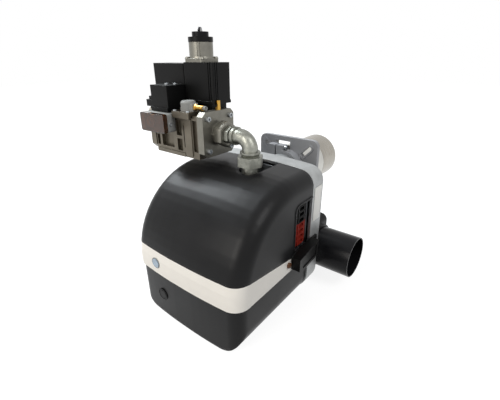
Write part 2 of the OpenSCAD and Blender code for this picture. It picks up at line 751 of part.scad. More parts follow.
disc_y = head_y1 - 18;
disc_r = tube_r - tube_t - 5;
module diffuser_disc() color("#8f8d86") difference() {
    rod_y(disc_r, disc_y, disc_y + 1.6, 0, tube_z);
    rod_y(head_r + fixed_fit, disc_y - eps, disc_y + 3, 0, tube_z);
    for (a = [0 : 30 : 359]) translate([0, 0, tube_z]) rotate([0, a, 0])
        block([head_r + 6, disc_y - eps, -2], [disc_r - 6, disc_y + 3, 2]);
    for (x = [-9, 9]) rod_y(4.2, disc_y - eps, disc_y + 3, x, tube_z + 26);
    rod_y(4.2, disc_y - eps, disc_y + 3, 0, tube_z - 26);
}

electrode_y0 = collar_y0 + 12;
module electrode(x, z) {
    rod_y(3.8, electrode_y0, disc_y - 4, x, z);
    rod_y(1.2, disc_y - 4, disc_y + 16, x, z);
}
module ignition_electrodes() color("#e6e2d8") {
    for (x = [-9, 9]) electrode(x, tube_z + 26);
    difference() {
        block([-15, electrode_y0 + 10, tube_z + 8], [15, electrode_y0 + 16, tube_z + 32]);
        rod_y(pipe_r + fixed_fit, electrode_y0, electrode_y0 + 20, 0, tube_z);
    }
}
module flame_electrode() color("#e6e2d8") {
    electrode(0, tube_z - 26);
    difference() {
        block([-8, electrode_y0 + 10, tube_z - 31], [8, electrode_y0 + 16, tube_z - 7]);
        rod_y(pipe_r + fixed_fit, electrode_y0, electrode_y0 + 20, 0, tube_z);
    }
}

// Gas line

// The gas pipe goes down the riser, slants to the middle plane and follows the tube,
// with a round elbow fitting at each corner
slant_y = riser_y + riser_x;
pipe_top = hood_h - 34;
elbow_body_r = pipe_r + 3;
elbow_room_r = gas_bore_r + 1;
module gas_pipe_run(r, body_r, cut) {
    rod_z(r, tube_z, pipe_top + cut, riser_x, riser_y);
    rod_z(body_r, tube_z - body_r, tube_z + body_r, riser_x, riser_y);
    translate([riser_x, riser_y, tube_z]) rotate([-90, 0, 45])
        cylinder(r = r, h = riser_x * sqrt(2));
    rod_z(body_r, tube_z - body_r, tube_z + body_r, 0, slant_y);
    rod_y(r, slant_y, head_y0 + 5 + cut, 0, tube_z);
}
module gas_pipe() color("#8e908f") difference() {
    gas_pipe_run(pipe_r, elbow_body_r, 0);
    gas_pipe_run(gas_bore_r, elbow_room_r, eps);
}

nut_z0 = hood_h + 7;
nut_h = 17;
nut_z1 = nut_z0 + nut_h;
union_head_r = nut_flats / 2 - 3;
tail_r = elbow_r + 1;
seat_z = nut_z0 + 6;

module union_lower() color("#8d8e88") difference() {
    union() {
        rod_z(elbow_r + 0.5, tube_z + elbow_body_r + 0.6, nut_z0 - 7, riser_x, riser_y, 8);
        rod_z(elbow_r, nut_z0 - 8, seat_z, riser_x, riser_y);
        rod_z(union_head_r, nut_z0 + 1, seat_z, riser_x, riser_y);
    }
    rod_z(pipe_r + fixed_fit, pipe_top - 15, pipe_top, riser_x, riser_y);
    rod_z(gas_bore_r, pipe_top - 1, seat_z + eps, riser_x, riser_y);
}

module union_nut() color("#9a9b94") difference() {
    intersection() {
        rod_z(nut_flats / sqrt(3), nut_z0, nut_z1, riser_x, riser_y, 6);
        rod_z(nut_flats / sqrt(3) - 0.8, nut_z0 - eps, nut_z1 + eps, riser_x, riser_y);
    }
    rod_z(union_head_r + run_fit, nut_z0 - eps, nut_z1 - 5, riser_x, riser_y);
    rod_z(tail_r + run_fit, nut_z0, nut_z1 + eps, riser_x, riser_y);
}

bend_r = 20;
tail_top = nut_z1 + 8;
nipple_r = gas_bore_r + 2.4;
elbow_end = riser_x - bend_r - 14;
module elbow() color("#a3a49c") difference() {
    union() {
        rod_z(union_head_r - 0.4, seat_z, nut_z1 - 5.3, riser_x, riser_y);
        rod_z(tail_r, seat_z, nut_z1 + 2, riser_x, riser_y);
        cone_z(tail_r, tail_r + 3, nut_z1 + 0.4, tail_top - 3, riser_x, riser_y);
        rod_z(tail_r + 3, tail_top - 3, tail_top, riser_x, riser_y);
        rod_z(elbow_r, tail_top - eps, gas_z - bend_r, riser_x, riser_y);
        translate([riser_x - bend_r, riser_y, gas_z - bend_r]) rotate([90, 0, 0])
            rotate_extrude(angle = 90) translate([bend_r, 0]) circle(elbow_r);
        rod_x(elbow_r, riser_x - bend_r - 9, riser_x - bend_r, riser_y, gas_z);
        rod_x(elbow_r + 2.5, elbow_end, elbow_end + 6, riser_y, gas_z);
    }
    rod_z(gas_bore_r, seat_z - eps, gas_z - bend_r, riser_x, riser_y);
    translate([riser_x - bend_r, riser_y, gas_z - bend_r]) rotate([90, 0, 0])
        rotate_extrude(angle = 90) translate([bend_r, 0]) circle(gas_bore_r);
    rod_x(gas_bore_r, elbow_end - eps, riser_x - bend_r, riser_y, gas_z);
    rod_x(nipple_r + fixed_fit, elbow_end - eps, elbow_end + 8.5, riser_y, gas_z);
}

module hex_nipple() color("#94958e") difference() {
    union() {
        rod_x(nipple_r, valve_out_x - 6, elbow_end + 8, riser_y, gas_z);
        rod_x(15.5, elbow_end - 17, elbow_end - 5, riser_y, gas_z, 6);
    }
    rod_x(gas_bore_r, valve_out_x - 7, elbow_end + 9, riser_y, gas_z);
}

// Gas valve

valve_in_x = valve_out_x - valve_len;
body_x0 = valve_in_x + valve_flange_t;
body_x1 = valve_out_x - valve_flange_t;
valve_y0 = valve_y - valve_depth / 2;
valve_y1 = valve_y + valve_depth / 2;
flange_screw_off = 28;
plunger_x = [body_x1 - 26, body_x0 + 26];
chamber_r = plunger_r + 5;

// Square valve flange with cut corners and an octagonal boss
module valve_flange(x0, x1, boss_side, bore_r) difference() {
    union() {
        intersection() {
            block([x0, valve_y - valve_flange_w / 2, gas_z - valve_flange_w / 2],
                [x1, valve_y + valve_flange_w / 2, gas_z + valve_flange_w / 2]);
            translate([x0 - eps, valve_y, gas_z]) rotate([45, 0, 0])
                block([0, -valve_flange_w * 0.64, -valve_flange_w * 0.64],
                    [x1 - x0 + 2 * eps, valve_flange_w * 0.64, valve_flange_w * 0.64]);
        }
        if (boss_side > 0) rod_x(20, x1 - eps, x1 + 7, valve_y, gas_z, 8);
        else rod_x(20, x0 - 7, x0 + eps, valve_y, gas_z, 8);
    }
    rod_x(bore_r, x0 - 10, x1 + 10, valve_y, gas_z);
    for (y = [-1, 1], z = [-1, 1])
        rod_x(2.55, x0 - eps, x1 + eps, valve_y + y * flange_screw_off, gas_z + z * flange_screw_off);
}
module outlet_flange() color("#9b9b97")
    valve_flange(body_x1, valve_out_x, 1, nipple_r + fixed_fit);
module inlet_flange() color("#9b9b97")
    valve_flange(valve_in_x, body_x0, -1, gas_bore_r + 1.6);

module flange_screws() color("#b9bcbe") for (y = [-1, 1], z = [-1, 1]) {
    at_y = valve_y + y * flange_screw_off;
    at_z = gas_z + z * flange_screw_off;
    difference() {
        union() {
            rod_x(2.5, body_x1 - 10, valve_out_x + 1, at_y, at_z);
            rod_x(4.4, valve_out_x, valve_out_x + 5, at_y, at_z);
        }
        rod_x(2.3, valve_out_x + 2, valve_out_x + 6, at_y, at_z, 6);
    }
    difference() {
        union() {
            rod_x(2.5, valve_in_x - 1, body_x0 + 10, at_y, at_z);
            rod_x(4.4, valve_in_x - 5, valve_in_x, at_y, at_z);
        }
        rod_x(2.3, valve_in_x - 6, valve_in_x - 2, at_y, at_z, 6);
    }
}

// Pockets in the valve body's front: left, right, bottom, top and depth of each
front_pockets = [[-165, -157, 287, 307, 5], [-151, -117, 287, 312, 8], [-107, -93, 284, 306, 7],
    [-107, -93, 312, 339, 7], [-88, -85, 291, 332, 4], [-63.5, -53, 287, 342, 5]];
module valve_body() color("#a6a39b") difference() {
    union() {
        block([body_x0, valve_y0, valve_z0], [body_x1, valve_y1, valve_z1]);
        soft_y([-84, valve_y0 - 1.6, valve_z0 + 3], [-66, valve_y0 + eps, valve_z1 - 6], 2);
        block([body_x0 + 3, valve_y0 - 1.6, valve_z0], [-86, valve_y0 + eps, valve_z0 + 7]);
    }
    for (p = front_pockets)
        soft_y([p[0], valve_y0 - 2, p[2]], [p[1], valve_y0 + p[4], p[3]], 1.4);
    for (x = [body_x0 + 8, body_x0 + 34, body_x0 + 60], z = [valve_z0 + 6, valve_z0 + 30])
        soft_y([x, valve_y1 - 5, z], [x + 22, valve_y1 + 1, z + 20], 3);
    for (x = plunger_x) rod_z(chamber_r, gas_z - 14, valve_z1 + eps, x, valve_y + 18);
    for (y = [-1, 1], z = [-1, 1]) for (x = [body_x0 - eps, body_x1 - 11])
        rod_x(2.55, x, x + 12, valve_y + y * flange_screw_off, gas_z + z * flange_screw_off);
    rod_x(gas_bore_r, body_x0 - eps, body_x1 + eps, valve_y, gas_z);
}

// Valve plunger with its disc at the foot
module plunger(i) {
    rod_z(plunger_r, gas_z - 8, valve_z1 + 10, plunger_x[i], valve_y + 18);
    rod_z(chamber_r - 0.5, gas_z - 11, gas_z - 8, plunger_x[i], valve_y + 18);
}
module valve_plunger_1() color("#b4b8bb") plunger(0);
module valve_plunger_2() color("#b4b8bb") plunger(1);

governor_x = -84;
governor_y = valve_y0 + 13;
governor_t = 6;
governor_top = valve_z1 + governor_t;
module governor_flange() color("#8d8c88") {
    soft_z([governor_x - 22, valve_y0 - 9, valve_z1], [governor_x + 21, coil_y0 - 2.6, governor_top], 2);
    soft_z([governor_x - 22, valve_y0 - 9, valve_z1 - 5], [governor_x + 21, valve_y0 - 2, valve_z1 + eps], 2);
}
module governor_cap() color("#8f908d") {
    rod_z(13.5, governor_top, governor_top + 14, governor_x, governor_y);
    cone_z(13.5, 11, governor_top + 14, governor_top + 17, governor_x, governor_y);
    soft_z([governor_x, governor_y - 8, governor_top], [governor_x + 18, governor_y + 7, governor_top + 13], 2);
    soft_z([governor_x - 15, governor_y - 7, governor_top], [governor_x, governor_y + 7, governor_top + 5], 2);
}

module test_nipples() color("#c39a4a") {
    rod_z(3, gas_z + valve_flange_w / 2, gas_z + valve_flange_w / 2 + 16, valve_out_x - 3.6, valve_y + 5);
    rod_z(4.4, gas_z + valve_flange_w / 2, gas_z + valve_flange_w / 2 + 5, valve_out_x - 5, valve_y + 5, 6);
    rod_x(4.2, governor_x + 18, governor_x + 38, governor_y - 1, governor_top + 7);
    rod_x(5.6, governor_x + 18, governor_x + 22, governor_y - 1, governor_top + 7, 6);
}

coil_x0 = -116;
coil_x1 = -43;
coil_y0 = valve_y - 2;
coil_y1 = valve_y + 42;
coil_z0 = valve_z1 + 16;
coil_z1 = coil_z0 + coil_h;
module coil_housing() color("#232426") difference() {
    union() {
        soft_z([coil_x0, coil_y0, coil_z0], [coil_x1, coil_y1, coil_z1], 3);
        soft_z([coil_x0, coil_y0 - 2, coil_z0], [coil_x1, coil_y1 + 2, coil_z0 + 5], 3);
        block([coil_x0 + 4, coil_y0 + 1, valve_z1], [coil_x1 - 8, valve_y1, coil_z0 + eps]);
    }
    for (i = [0, 1]) {
        block([coil_x1 - 12 + 4.4 * i, coil_y0 - eps, coil_z0 + 7],
            [coil_x1 - 10.2 + 4.4 * i, coil_y0 + 1.6, coil_z1 + eps]);
        block([coil_x1 - 1.6, coil_y0 + 4.4 + 4.4 * i, coil_z0 + 7],
            [coil_x1 + eps, coil_y0 + 6.2 + 4.4 * i, coil_z1 + eps]);
    }
    rod_z(plunger_r + run_fit * 4, valve_z1 - eps, valve_z1 + 15, plunger_x[0], valve_y + 18);
}

conn_x0 = -203;
conn_front = valve_y - 44;
conn_low_x0 = -162;
conn_low_x1 = coil_x0 - 0.3;
conn_low_z1 = coil_z0 + 31;
module connection_box() color("#1f2022") difference() {
    union() {
        soft_z([conn_x0, coil_y0, coil_z0], [conn_low_x1, coil_y1, coil_z1 - 2], 3);
        block([conn_low_x0, conn_front, coil_z0 - 8], [conn_low_x1, coil_y0 + eps, conn_low_z1]);
        block([conn_low_x0 - 2, conn_front - 2, coil_z0 - 14], [conn_low_x1, coil_y0, coil_z0 - 7]);
        soft_z([conn_low_x0 - 22, conn_front + 3, coil_z0 - 8], [conn_low_x0 + eps, coil_y0 - 6, coil_z0 + 4], 2);
        soft_z([conn_low_x0 - 17, conn_front + 6, coil_z0 + 4 - eps], [conn_low_x0 + eps, coil_y0 - 8, coil_z0 + 10], 2);
        block([conn_low_x0 + 2, coil_y0, valve_z1], [conn_low_x1 - 4, valve_y1, coil_z0 + eps]);
    }
    rod_z(plunger_r + run_fit * 4, valve_z1 - eps, valve_z1 + 15, plunger_x[1], valve_y + 18);
}

slotted_screws = [[conn_low_x0 + 22, conn_front + 20, conn_low_z1], [conn_low_x1 - 12, conn_front + 30, conn_low_z1],
    [governor_x - 17, governor_y - 17, governor_top], [governor_x + 16, governor_y - 17, governor_top],
    [governor_x - 17, governor_y + 14, governor_top]];
module box_screws() color("#b9bcbe") {
    for (p = slotted_screws)
        difference() {
            rod_z(3.6, p[2], p[2] + 2.2, p[0], p[1]);
            block([p[0] - 3, p[1] - 0.5, p[2] + 1.3], [p[0] + 3, p[1] + 0.5, p[2] + 3]);
        }
}

gland_x = conn_low_x0 - 22;
gland_y = conn_front + 20;
gland_z = coil_z0 - 2.5;
module cable_gland() color("#191a1c") difference() {
    union() {
        rod_x(7.4, gland_x - 5, gland_x, gland_y, gland_z, 6);
        rod_x(6, gland_x - 10, gland_x - 4, gland_y, gland_z);
    }
    rod_x(3.4, gland_x - 11, gland_x - 4, gland_y, gland_z);
}

switch_x0 = -172;
switch_x1 = -106;
switch_z0 = 318;
switch_z1 = 351;
switch_y0 = valve_y0 - 28;
module gas_switch_body() color("#8b8c8b") {
    soft_y([switch_x0, switch_y0 + 9, switch_z0], [switch_x1, valve_y0 - 2, switch_z1], 4);
    block([switch_x0 + 8, valve_y0 - 3, switch_z0 + 4], [switch_x1 - 4, valve_y0, switch_z1 - 3]);
    rod_y(3, switch_y0 + 5, switch_y0 + 10, dial_x, dial_z);
}
dial_x = -150;
dial_z = 334;
module gas_switch_dial() color("#d9d9d4") difference() {
    rod_y(10, switch_y0 + 5, switch_y0 + 8.6, dial_x, dial_z);
    rod_y(3 + run_fit, switch_y0 + 4, switch_y0 + 10, dial_x, dial_z);
    block([dial_x + 4, switch_y0 + 4, dial_z - 0.7], [dial_x + 9, switch_y0 + 6, dial_z + 0.7]);
}
module gas_switch_cover() color([0.42, 0.33, 0.26, 0.6]) difference() {
    soft_y([switch_x0, switch_y0, switch_z0], [switch_x1, switch_y0 + 9, switch_z1], 4);
    soft_y([switch_x0 + 2, switch_y0 + 2, switch_z0 + 2], [switch_x1 - 2, switch_y0 + 10, switch_z1 - 2], 3);
}

// Tower with the hydraulic brake
tower_x = -90;
tower_y = valve_y + 20;
tower_z1 = coil_z1 + tower_h;
module tower_body() color("#a9aaa7") difference() {
    union() {
        soft_z([tower_x - tower_r - 1, tower_y - tower_r - 1, coil_z1],
            [tower_x + tower_r + 1, tower_y + tower_r + 1, coil_z1 + 6], 5);
        cone_z(tower_r + 0.8, tower_r, coil_z1 + 5, coil_z1 + 9, tower_x, tower_y);
        rod_z(tower_r, coil_z1 + 8, tower_z1, tower_x, tower_y);
        for (x = [-1, 1], y = [-1, 1]) cone_z(5, 3.4, coil_z1 + 6 - eps, coil_z1 + 9,
            tower_x + x * (tower_r - 3.5), tower_y + y * (tower_r - 3.5));
    }
    for (a = [-62, -50, 118, 130]) translate([tower_x, tower_y, 0]) rotate(a)
        block([tower_r - 0.8, -0.6, coil_z1 + 9.6], [tower_r + eps, 0.6, tower_z1 + eps]);
}
module tower_ring() color("#2a2b2d") rod_z(tower_r + 0.6, tower_z1, tower_z1 + 8, tower_x, tower_y);
module tower_cap() color("#1b1c1e") difference() {
    union() {
        rod_z(14.5, tower_z1 + 8.3, tower_z1 + 18, tower_x, tower_y);
        cone_z(14.5, 7, tower_z1 + 18, tower_z1 + 23, tower_x, tower_y);
    }
    for (s = [-1, 1]) translate([tower_x, tower_y, 0]) rotate(-52)
        block([-20, s > 0 ? 2.2 : -20, tower_z1 + 16], [20, s > 0 ? 20 : -2.2, tower_z1 + 30]);
}

// Bracket at the side, fixed to the housing
bracket_x0 = half_w + 2.2;
bracket_x1 = bracket_x0 + 17;
module side_bracket() color("#1a1b1d") difference() {
    union() {
        translate([bracket_x0, 0, 0]) rotate([90, 0, 90]) linear_extrude(bracket_x1 - bracket_x0)
            polygon([[150, 121], [217, 132], [217, 99], [157, 92], [150, 97]]);
        block([half_w, pan_y0 + 3, 103], [bracket_x0 + 2, pan_y0 + 22, 128]);
        block([bracket_x0, pan_y0 - 8, 103], [bracket_x0 + 2, pan_y0 + 4, 128]);
    }
    translate([bracket_x1 - 1.6, 0, 0]) rotate([90, 0, 90]) linear_extrude(5)
        polygon([[158, 117], [210, 126], [210, 103], [162, 98]]);
}

bench() hood_shell();
bench() hood_band();
bench() hood_plug();
bench() hood_screw();
bench() reset_bezel();
bench() reset_button();
bench() housing_pan();
bench() mounting_plate();
bench() plate_screws();
bench() fan_cover();
bench() motor_body();
bench() motor_end_bell();
bench() motor_bearings();
bench() motor_shaft();
bench() fan_wheel();
bench() control_box();
bench() socket_black();
bench() socket_brown();
bench() ignition_transformer();
bench() air_switch();
bench() air_box();
bench() intake_pipe();
bench() damper_flap();
bench() damper_shaft();
bench() air_knob();
bench() flange_plate();
bench() clamp_block();
bench() clamp_screw();
bench() flange_gasket();
bench() tube_collar();
bench() blast_tube();
bench() gas_head();
bench() diffuser_disc();
bench() ignition_electrodes();
bench() flame_electrode();
bench() gas_pipe();
bench() union_lower();
bench() union_nut();
bench() elbow();
bench() hex_nipple();
bench() outlet_flange();
bench() inlet_flange();
bench() flange_screws();
bench() valve_body();
bench() valve_plunger_1();
bench() valve_plunger_2();
bench() governor_flange();
bench() governor_cap();
bench() test_nipples();
bench() coil_housing();
bench() connection_box();
bench() box_screws();
bench() cable_gland();
bench() gas_switch_body();
bench() gas_switch_cover();
bench() gas_switch_dial();
bench() tower_body();
bench() tower_ring();
bench() tower_cap();
bench() side_bracket();
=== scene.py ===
"""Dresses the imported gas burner: finishes for every piece, small plates, light and camera."""

import math

import bpy
from mathutils import Matrix, Vector


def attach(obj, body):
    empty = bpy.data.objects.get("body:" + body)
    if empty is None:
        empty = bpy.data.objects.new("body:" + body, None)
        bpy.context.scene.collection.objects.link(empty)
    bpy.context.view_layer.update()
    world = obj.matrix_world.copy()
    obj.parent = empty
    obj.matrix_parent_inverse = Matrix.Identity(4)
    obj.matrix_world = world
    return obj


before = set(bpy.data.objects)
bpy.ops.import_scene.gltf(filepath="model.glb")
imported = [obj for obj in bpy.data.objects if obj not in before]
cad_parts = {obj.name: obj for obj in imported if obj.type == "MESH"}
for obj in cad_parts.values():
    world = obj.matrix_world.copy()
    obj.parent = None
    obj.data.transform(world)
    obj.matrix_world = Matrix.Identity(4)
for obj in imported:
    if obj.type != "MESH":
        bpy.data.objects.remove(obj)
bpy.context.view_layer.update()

bl_info = {
    "name": "Gas burner dressing",
    "version": (1, 0, 0),
    "blender": (4, 5, 0),
    "location": "3D View > Sidebar > Burner",
    "description": "Finishes, plates, light and camera for the gas burner",
    "category": "Object",
}

MM = 0.001
# The frame's origin lies on the blast tube's axis at the flange; the bench lies this far below
BENCH_Z = -211 * MM
# Distance from the frame's origin to the hood's front, along Y
FRONT_Y = -338 * MM

# The camera as fitted to the photograph: place on the bench in mm, direction, roll in degrees
CAMERA_PLACE = (364.4, -270.0, 445.3)
CAMERA_AHEAD = (-0.5637, 0.7179, -0.4085)
CAMERA_ROLL = -0.3
SENSOR_WIDTH = 36.0

# The point on the burner that every lamp faces, in bench millimetres
LAMP_TARGET = (0, 200, 160)
# Name, place in bench millimetres, side in metres, watts and colour of each lamp
LAMPS = (
    ("window softbox", (-1450, 350, 1750), 0.95, 66, (0.9, 0.96, 1.0)),
    ("warm front lamp", (-400, -2300, 1400), 1.4, 44, (1.0, 0.96, 0.9)),
    ("right fill lamp", (1500, 0, 1600), 0.75, 16, (1.0, 1.0, 1.0)),
)
WORLD_STRENGTH = 0.3

# Side of the floor in metres, and how far it lies under the bench so that it never touches
FLOOR_SIZE = 12.0
FLOOR_GAP = 0.2

# The housing's flat side, where the data plate sits, in bench millimetres
HOUSING_SIDE = 125.0
# Edges that bend less than this are shaded smooth on the added pieces
SMOOTH_ANGLE = math.radians(35)


def srgb(code):
    """Linear colour of an sRGB hex value."""
    parts = [int(code[i:i + 2], 16) / 255 for i in (1, 3, 5)]
    linear = [c / 12.92 if c <= 0.04045 else ((c + 0.055) / 1.055) ** 2.4 for c in parts]
    return (*linear, 1.0)


def bench(x, y, z):
    """Point in the frame, from millimetres off the middle plane, the hood's front and the bench."""
    return Vector((x * MM, y * MM + FRONT_Y, z * MM + BENCH_Z))


def add(tree, kind, settings=None, inputs=None):
    """Adds a node, sets its properties, and fills or links its inputs."""
    node = tree.nodes.new(kind)
    for name, value in (settings or {}).items():
        setattr(node, name, value)
    for name, value in (inputs or {}).items():
        socket = node.inputs[name]
        if isinstance(value, bpy.types.NodeSocket):
            tree.links.new(value, socket)
        else:
            socket.default_value = value
    return node


def new_material(name):
    """Empty node material: returns it, its tree, its object coordinates and its output node."""
    material = bpy.data.materials.new(name)
    material.use_nodes = True
    tree = material.node_tree
    tree.nodes.clear()
    place = add(tree, "ShaderNodeTexCoord").outputs["Object"]
    output = add(tree, "ShaderNodeOutputMaterial")
    return material, tree, place, output


def close_material(tree, output, sockets, height, depth, soft_edge):
    """Joins a Principled shader with a bump of the given depth and rounded edges to the output."""
    edge = add(tree, "ShaderNodeBevel", {"samples": 4}, {"Radius": soft_edge})
    normal = edge.outputs["Normal"]
    if height is not None:
        normal = add(tree, "ShaderNodeBump", None, {
            "Height": height, "Distance": depth, "Strength": 1.0,
            "Normal": normal}).outputs["Normal"]
    shader = add(tree, "ShaderNodeBsdfPrincipled", None, {**sockets, "Normal": normal})
    tree.links.new(shader.outputs["BSDF"], output.inputs["Surface"])


def blend(node, low, high, start, end):
    """Sets the two stops of a colour ramp and returns its colour."""
    stops = node.color_ramp.elements
    stops[0].position = start
    stops[0].color = low
    stops[1].position = end
    stops[1].color = high
    return node.outputs["Color"]


def shade(colour, factor):
    """The colour made darker or lighter by a factor."""
    return (*[min(1.0, c * factor) for c in colour[:3]], 1.0)


def moulded_plastic(name, colour, roughness, grain=0.9 * MM, depth=0.012 * MM, edge=0.5 * MM):
    """Injection-moulded plastic: even colour, a fine spark-eroded grain, soft sheen."""
    material, tree, place, output = new_material(name)
    cloud = add(tree, "ShaderNodeTexNoise", None, {
        "Vector": place, "Scale": 1 / (60 * MM), "Detail": 3.0,
        "Roughness": 0.5}).outputs["Fac"]
    fine = add(tree, "ShaderNodeTexNoise", None, {
        "Vector": place, "Scale": 1 / grain, "Detail": 2.0,
        "Roughness": 0.5}).outputs["Fac"]
    close_material(tree, output, {
        "Base Color": blend(add(tree, "ShaderNodeValToRGB", None, {"Fac": cloud}),
                            shade(colour, 0.9), shade(colour, 1.1), 0.3, 0.7),
        "Roughness": add(tree, "ShaderNodeMapRange", None, {
            "Value": cloud, "From Min": 0.3, "From Max": 0.7,
            "To Min": roughness - 0.03, "To Max": roughness + 0.05}).outputs["Result"],
        "IOR": 1.5, "Specular IOR Level": 0.13,
    }, fine, depth, edge)
    return material


def cast_metal(name, colour, roughness, metallic, pits=1.4 * MM, depth=0.08 * MM):
    """Die-cast or sand-cast metal: cloudy tone, small pits and a dull skin."""
    material, tree, place, output = new_material(name)
    cloud = add(tree, "ShaderNodeTexNoise", None, {
        "Vector": place, "Scale": 1 / (24 * MM), "Detail": 4.0,
        "Roughness": 0.6}).outputs["Fac"]
    fine = add(tree, "ShaderNodeTexNoise", None, {
        "Vector": place, "Scale": 1 / pits, "Detail": 3.0,
        "Roughness": 0.6}).outputs["Fac"]
    close_material(tree, output, {
        "Base Color": blend(add(tree, "ShaderNodeValToRGB", None, {"Fac": cloud}),
                            shade(colour, 0.82), shade(colour, 1.08), 0.3, 0.7),
        "Roughness": add(tree, "ShaderNodeMapRange", None, {
            "Value": fine, "From Min": 0.3, "From Max": 0.7,
            "To Min": roughness - 0.06, "To Max": roughness + 0.1}).outputs["Result"],
        "Metallic": metallic,
    }, fine, depth, 0.8 * MM)
    return material


def turned_metal(name, colour, roughness, stretch, line=0.8 * MM, depth=0.012 * MM):
    """Turned or brushed metal: fine lines along one direction, bright and slightly uneven."""
    material, tree, place, output = new_material(name)
    drawn_out = add(tree, "ShaderNodeMapping", None, {
        "Vector": place, "Scale": stretch}).outputs["Vector"]
    lines = add(tree, "ShaderNodeTexNoise", None, {
        "Vector": drawn_out, "Scale": 1 / line, "Detail": 2.0,
        "Roughness": 0.6}).outputs["Fac"]
    cloud = add(tree, "ShaderNodeTexNoise", None, {
        "Vector": place, "Scale": 1 / (30 * MM), "Detail": 3.0,
        "Roughness": 0.5}).outputs["Fac"]
    close_material(tree, output, {
        "Base Color": blend(add(tree, "ShaderNodeValToRGB", None, {"Fac": cloud}),
                            shade(colour, 0.88), shade(colour, 1.06), 0.3, 0.7),
        "Roughness": add(tree, "ShaderNodeMapRange", None, {
            "Value": lines, "From Min": 0.3, "From Max": 0.7,
            "To Min": roughness - 0.08, "To Max": roughness + 0.12}).outputs["Result"],
        "Metallic": 1.0,
    }, lines, depth, 0.4 * MM)
    return material


def galvanised_iron(name, colour):
    """Hot-dip galvanised malleable iron: patchy zinc spangle over a lumpy casting."""
    material, tree, place, output = new_material(name)
    cells = add(tree, "ShaderNodeTexVoronoi", {"feature": "F1"},
                {"Vector": place, "Scale": 1 / (6 * MM)}).outputs["Color"]
    patch = add(tree, "ShaderNodeSeparateColor", None, {"Color": cells}).outputs["Red"]
    lumps = add(tree, "ShaderNodeTexNoise", None, {
        "Vector": place, "Scale": 1 / (5 * MM), "Detail": 3.0,
        "Roughness": 0.6}).outputs["Fac"]
    close_material(tree, output, {
        "Base Color": blend(add(tree, "ShaderNodeValToRGB", None, {"Fac": patch}),
                            shade(colour, 0.8), shade(colour, 1.15), 0.1, 0.9),
        "Roughness": add(tree, "ShaderNodeMapRange", None, {
            "Value": lumps, "From Min": 0.3, "From Max": 0.7,
            "To Min": 0.32, "To Max": 0.55}).outputs["Result"],
        "Metallic": 0.9,
    }, lumps, 0.25 * MM, 0.8 * MM)
    return material


def painted_metal(name, colour, roughness, metallic=0.0):
    """Stove enamel on iron or sheet: smooth film with a slight orange peel."""
    material, tree, place, output = new_material(name)
    peel = add(tree, "ShaderNodeTexNoise", None, {
        "Vector": place, "Scale": 1 / (2.5 * MM), "Detail": 2.0,
        "Roughness": 0.5}).outputs["Fac"]
    cloud = add(tree, "ShaderNodeTexNoise", None, {
        "Vector": place, "Scale": 1 / (40 * MM), "Detail": 3.0,
        "Roughness": 0.5}).outputs["Fac"]
    close_material(tree, output, {
        "Base Color": blend(add(tree, "ShaderNodeValToRGB", None, {"Fac": cloud}),
                            shade(colour, 0.97), shade(colour, 1.03), 0.3, 0.7),
        "Roughness": add(tree, "ShaderNodeMapRange", None, {
            "Value": cloud, "From Min": 0.3, "From Max": 0.7,
            "To Min": roughness - 0.04, "To Max": roughness + 0.05}).outputs["Result"],
        "Metallic": metallic, "IOR": 1.5,
    }, peel, 0.03 * MM, 0.5 * MM)
    return material


def smoky_cover(name, colour):
    """Smoky clear polycarbonate: see-through, brownish, glossy."""
    material, tree, place, output = new_material(name)
    wave = add(tree, "ShaderNodeTexNoise", None, {
        "Vector": place, "Scale": 1 / (18 * MM), "Detail": 2.0,
        "Roughness": 0.5}).outputs["Fac"]
    close_material(tree, output, {
        "Base Color": blend(add(tree, "ShaderNodeValToRGB", None, {"Fac": wave}),
                            shade(colour, 0.95), shade(colour, 1.05), 0.3, 0.7),
        "Roughness": 0.06, "IOR": 1.58, "Transmission Weight": 0.9,
    }, wave, 0.02 * MM, 0.4 * MM)
    return material


def translucent_button(name, colour):
    """Clear pale plastic button: glossy, with a little light passing through."""
    material, tree, place, output = new_material(name)
    wave = add(tree, "ShaderNodeTexNoise", None, {
        "Vector": place, "Scale": 1 / (6 * MM), "Detail": 2.0,
        "Roughness": 0.5}).outputs["Fac"]
    close_material(tree, output, {
        "Base Color": blend(add(tree, "ShaderNodeValToRGB", None, {"Fac": wave}),
                            shade(colour, 0.9), shade(colour, 1.1), 0.3, 0.7),
        "Roughness": 0.2, "IOR": 1.49, "Transmission Weight": 0.25, "Coat Weight": 0.4,
    }, wave, 0.02 * MM, 0.4 * MM)
    return material


def glazed_ceramic(name, colour):
    """Alumina ceramic: white, smooth and slightly glossy."""
    material, tree, place, output = new_material(name)
    speck = add(tree, "ShaderNodeTexNoise", None, {
        "Vector": place, "Scale": 1 / (1.5 * MM), "Detail": 2.0,
        "Roughness": 0.5}).outputs["Fac"]
    close_material(tree, output, {
        "Base Color": blend(add(tree, "ShaderNodeValToRGB", None, {"Fac": speck}),
                            shade(colour, 0.96), colour, 0.3, 0.7),
        "Roughness": 0.3, "IOR": 1.7,
    }, speck, 0.01 * MM, 0.3 * MM)
    return material


def pressed_fibre(name, colour):
    """Pressed fibre gasket: pale, matt and flecked with short fibres."""
    material, tree, place, output = new_material(name)
    squeezed = add(tree, "ShaderNodeMapping", None, {
        "Vector": place, "Scale": (1.0, 1.0, 3.0)}).outputs["Vector"]
    fleck = add(tree, "ShaderNodeTexNoise", None, {
        "Vector": squeezed, "Scale": 1 / (1.6 * MM), "Detail": 3.0,
        "Roughness": 0.6}).outputs["Fac"]
    close_material(tree, output, {
        "Base Color": blend(add(tree, "ShaderNodeValToRGB", None, {"Fac": fleck}),
                            shade(colour, 0.8), colour, 0.3, 0.7),
        "Roughness": 0.85, "IOR": 1.45,
    }, fleck, 0.1 * MM, 0.3 * MM)
    return material


